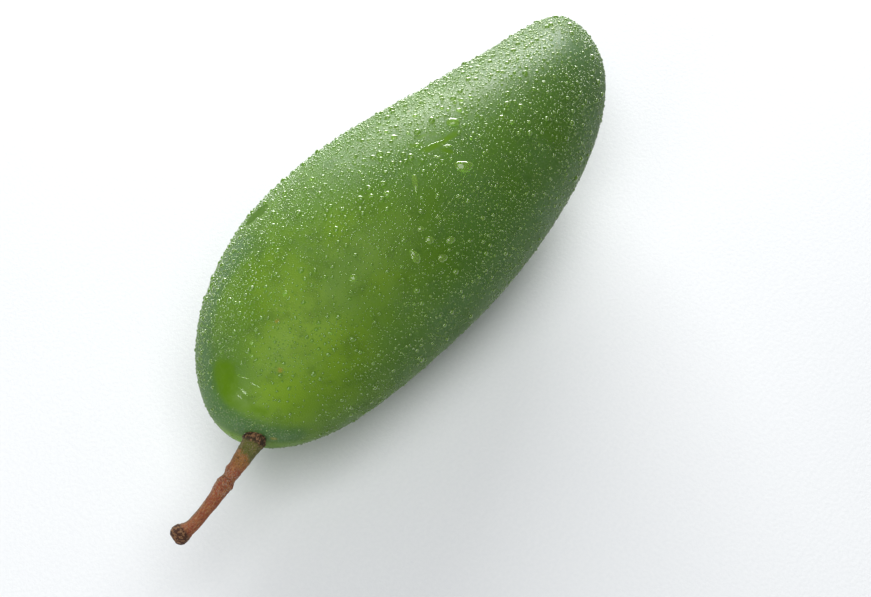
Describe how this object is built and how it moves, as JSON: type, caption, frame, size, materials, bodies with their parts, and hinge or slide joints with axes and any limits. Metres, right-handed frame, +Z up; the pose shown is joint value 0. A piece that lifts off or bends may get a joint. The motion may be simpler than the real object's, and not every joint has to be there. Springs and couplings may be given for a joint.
{
  "type": "green mango",
  "caption": "Long unripe green mango with a short cut stem, wet with dew, lying on its broad side on a small flat spot.",
  "frame": {"origin": "middle of the small flat on the underside that the fruit rests on, below its centre of weight", "axes": "+X along the fruit from the stem end to the tip, +Y to the full rounded back, +Z up"},
  "size_m": [0.2074, 0.0708, 0.0645],
  "materials": {
    "skin": "smooth waxy green skin with paler breathing spots, satin gloss and a thin grey bloom",
    "bark": "rough red-brown bark, olive green next to the fruit, dark and corky at both ends",
    "water": "clear drops of dew"
  },
  "bodies": {
    "root": {"fruit": "skin", "stem": "bark"}
  },
  "joints": []
}
